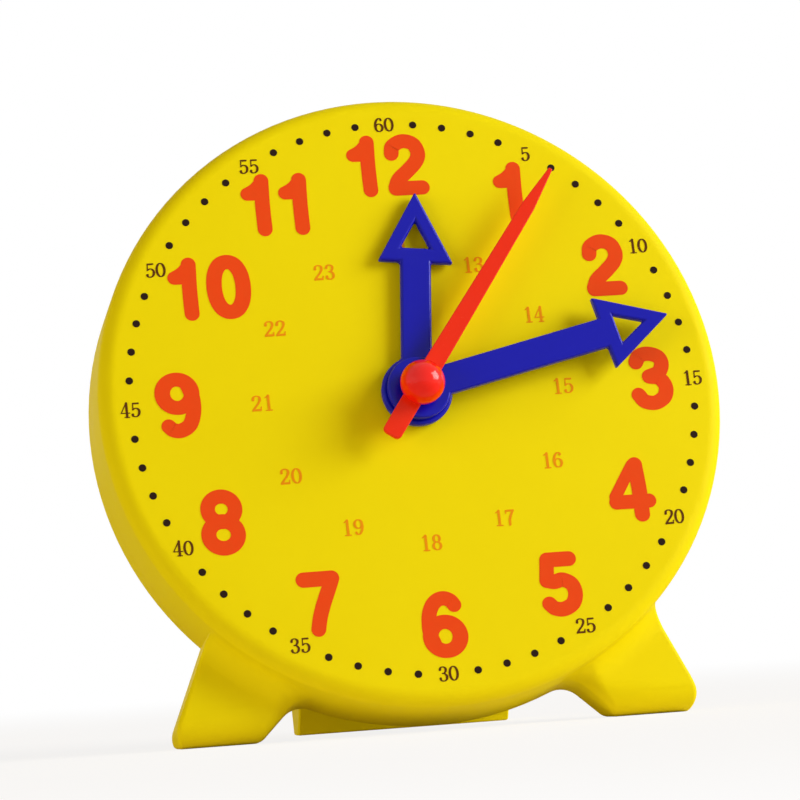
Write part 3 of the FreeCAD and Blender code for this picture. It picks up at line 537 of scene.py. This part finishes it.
# book numerals in a box one unit high: upright parts are thick and level parts are thin
thick, thin = 0.075, 0.032
nib = (thin, thick)
book = {
    "0": [(loop(0, 0, 0.245, 0.44), nib)],
    "1": [([(0.03, 0.44), (0.03, -0.44)], thick),
          ([(-0.15, 0.33), (0.03, 0.45)], thin),
          ([(-0.15, -0.465), (0.21, -0.465)], thin)],
    "2": [([(-0.21, 0.22), (-0.16, 0.38), (0.0, 0.45), (0.17, 0.38), (0.20, 0.2), (0.09, -0.02),
            (-0.12, -0.27), (-0.24, -0.44)], nib),
          ([(-0.24, -0.42), (0.22, -0.42)], 0.062),
          ([(0.22, -0.42), (0.26, -0.24)], thin),
          ([(-0.19, 0.21), (-0.19, 0.23)], 0.07)],
    "3": [([(-0.2, 0.27), (-0.13, 0.41), (0.02, 0.45), (0.16, 0.36), (0.17, 0.2), (0.07, 0.06),
            (-0.06, 0.03)], nib),
          ([(-0.06, 0.03), (0.1, 0.0), (0.21, -0.15), (0.18, -0.35), (0.02, -0.45), (-0.15, -0.41),
            (-0.21, -0.28)], nib),
          ([(-0.18, 0.26), (-0.18, 0.28)], 0.06),
          ([(-0.19, -0.28), (-0.19, -0.26)], 0.06)],
    "4": [([(0.09, 0.46), (0.09, -0.44)], thick),
          ([(0.07, 0.45), (-0.27, -0.17)], thin),
          ([(-0.27, -0.19), (0.27, -0.19)], thin),
          ([(-0.05, -0.465), (0.23, -0.465)], thin)],
    "5": [([(-0.15, 0.42), (0.18, 0.42)], 0.055),
          ([(-0.16, 0.42), (-0.18, 0.03)], thin),
          ([(-0.18, 0.02), (-0.04, 0.1), (0.12, 0.07), (0.22, -0.1), (0.17, -0.33), (0.0, -0.45),
            (-0.16, -0.41), (-0.22, -0.3)], nib),
          ([(-0.19, -0.3), (-0.19, -0.28)], 0.06)],
    "6": [([(0.17, 0.33), (0.1, 0.43), (-0.03, 0.43), (-0.17, 0.25), (-0.23, 0.0), (-0.22, -0.2)], nib),
          (loop(0.0, -0.19, 0.22, 0.26), nib),
          ([(0.16, 0.31), (0.16, 0.33)], 0.055)],
    "7": [([(-0.21, 0.42), (0.22, 0.42)], 0.058),
          ([(0.22, 0.42), (0.06, 0.1), (-0.02, -0.15), (-0.03, -0.44)], nib),
          ([(-0.22, 0.42), (-0.23, 0.26)], thin)],
    "8": [(loop(0.0, 0.23, 0.18, 0.22), nib),
          (loop(0.0, -0.22, 0.22, 0.24), nib)],
    "9": [(loop(0.0, 0.19, 0.22, 0.26), nib),
          ([(-0.17, -0.33), (-0.1, -0.43), (0.03, -0.43), (0.17, -0.25), (0.23, 0.0), (0.22, 0.2)], nib),
          ([(-0.16, -0.33), (-0.16, -0.31)], 0.055)],
}
minuteNumbers = {"circle": 47.5, "shift": (0.0, 0.0), "height": 2.6, "pitch": 1.72}
innerNumbers = {"circle": 25.4, "shift": (-0.3, -0.1), "height": 2.75, "pitch": 1.9}


# a number at an hour's place on its circle, its digits side by side
def writeNumber(sheet, text, hour, look):
    angle = math.radians(30 * hour)
    x = look["circle"] * math.sin(angle) + look["shift"][0]
    y = look["circle"] * math.cos(angle) + look["shift"][1]
    start = x - look["pitch"] * (len(text) - 1) / 2
    for index, digit in enumerate(text):
        for line, half in book[digit]:
            sheet.stroke(line, half, (start + index * look["pitch"], y), look["height"])


minuteSheet = InkSheet()
innerSheet = InkSheet()
for hour in range(1, 13):
    writeNumber(minuteSheet, str(5 * hour), hour, minuteNumbers)
    writeNumber(innerSheet, str(12 + hour), hour, innerNumbers)
minuteSheet.finish("minute_numerals", "minuteInk")
innerSheet.finish("inner_numerals", "innerInk")

dots = {"circle": 47.5, "radius": 0.62, "sides": 28}


# round dots of ink: a circle carried to each minute that has no number
def printDots(look):
    sheet = InkSheet()
    sides = look["sides"]
    turn = np.linspace(0, 2 * math.pi, sides, endpoint=False)
    circle = np.stack([np.cos(turn), np.sin(turn)], -1) * look["radius"]
    faces = ringFaces(2, sides).tolist() + [list(range(sides))[::-1], list(range(sides, 2 * sides))]
    for minute in range(60):
        if minute % 5:
            angle = math.radians(6 * minute)
            flat = circle + np.array([math.sin(angle), math.cos(angle)]) * look["circle"]
            low = np.column_stack([flat, np.full(sides, -printing["sink"])])
            high = np.column_stack([flat, np.full(sides, printing["height"])])
            sheet.add(np.vstack([low, high]), faces)
    sheet.finish("minute_dots", "dotInk")


printDots(dots)

white = (1.0, 1.0, 1.0, 1.0)
paleFloor = {"size": 6.0, "colour": (253, 246, 232), "patch": (251, 243, 228), "patchScale": 0.02,
             "roughness": 0.9, "shine": 0.1, "lift": 0.84, "fadeStart": 0.12, "fadeEnd": 0.5}


# pale floor: a matt white with broad faint patches that takes the shadow near the clock. For the
# camera it is lifted towards white, and fades into it with the distance from the clock
def layFloor(look):
    half = look["size"] / 2
    floor = makePiece("floor", [[-half, -half, 0], [half, -half, 0], [half, half, 0], [-half, half, 0]],
                      [[0, 1, 2, 3]])
    graph = Graph(bpy.data.materials.new("paleFloor"))
    patches = graph.noise(look["patchScale"], detail=2.0)
    graph.shader(Base_Color=graph.mix(patches, srgb(*look["colour"]), srgb(*look["patch"])),
                 Roughness=look["roughness"], Specular_IOR_Level=look["shine"])
    camera = graph.node("ShaderNodeLightPath", output="Is Camera Ray")
    reach = graph.node("ShaderNodeVectorMath", {"operation": "LENGTH"}, {0: graph.place()}, "Value")
    fade = graph.steps(reach, look["fadeStart"] / mm, look["fadeEnd"] / mm)
    glow = graph.node("ShaderNodeEmission", {}, {"Color": white, "Strength": 1.0})
    matt = Value(graph, graph.tree.nodes["Principled BSDF"].outputs[0])
    share = camera * (look["lift"] + (1 - look["lift"]) * fade)
    mixed = graph.node("ShaderNodeMixShader", {}, {0: share, 1: matt, 2: glow})
    graph.feed(graph.tree.nodes["Material Output"].inputs["Surface"], mixed)
    floor.data.materials.append(graph.owner)


# the lamps face the middle of the case
lampAim = (0.0, 0.0, 0.055)
lamps = {
    "keyLight": {"power": 31.0, "place": (1.45, -0.68, 0.72), "size": 1.0, "colour": (1.0, 1.0, 1.0),
                 "mirrored": True},
    "fillLight": {"power": 7.2, "place": (-0.96, -0.46, 0.10), "size": 0.8, "colour": (1.0, 0.9, 0.76),
                  "mirrored": False},
}


# a square soft box that faces the clock, and may be left out of reflections
def softBox(name, look):
    lamp = bpy.data.lights.new(name, "AREA")
    lamp.energy = look["power"]
    lamp.size = look["size"]
    lamp.color = look["colour"]
    holder = bpy.data.objects.new(name, lamp)
    holder.location = look["place"]
    holder.visible_glossy = look["mirrored"]
    toward = Vector(lampAim) - Vector(look["place"])
    holder.rotation_euler = toward.to_track_quat("-Z", "Y").to_euler()
    bpy.context.scene.collection.objects.link(holder)


room = {"strength": 0.16, "colour": (1.0, 0.66, 0.42, 1.0)}


# the room is white to the camera and in reflections, and dimmer and warmer where it lights the clock
def fillRoom(look):
    world = bpy.data.worlds.new("paleRoom")
    bpy.context.scene.world = world
    graph = Graph(world)
    seen = graph.node("ShaderNodeLightPath", output="Is Camera Ray")
    for ray in ("Is Glossy Ray", "Is Transmission Ray"):
        seen = seen.join("MAXIMUM", graph.node("ShaderNodeLightPath", output=ray))
    background = graph.tree.nodes["Background"]
    graph.feed(background.inputs["Color"], graph.mix(seen, look["colour"], white))
    graph.feed(background.inputs["Strength"], look["strength"] + (1 - look["strength"]) * seen)


view = {"place": (-0.131586, -0.641596, 0.018670), "aim": (-0.002721, -0.011819, 0.054695),
        "roll": -3.98624, "lens": 175.455, "sensor": 36.0, "nearest": 0.01}


# the camera looks from its place to its aim, and is rolled about that line
def setCamera(look):
    camera = bpy.data.objects.new("camera", bpy.data.cameras.new("camera"))
    sight = (Vector(look["aim"]) - Vector(look["place"])).to_track_quat("-Z", "Y")
    roll = Matrix.Rotation(math.radians(look["roll"]), 4, "Z")
    camera.matrix_world = Matrix.Translation(look["place"]) @ sight.to_matrix().to_4x4() @ roll
    camera.data.lens = look["lens"]
    camera.data.sensor_width = look["sensor"]
    camera.data.clip_start = look["nearest"]
    bpy.context.scene.collection.objects.link(camera)
    bpy.context.scene.camera = camera


layFloor(paleFloor)
for name, look in lamps.items():
    softBox(name, look)
fillRoom(room)
setCamera(view)
bpy.context.scene.view_settings.view_transform = "Standard"
print("studio ready")
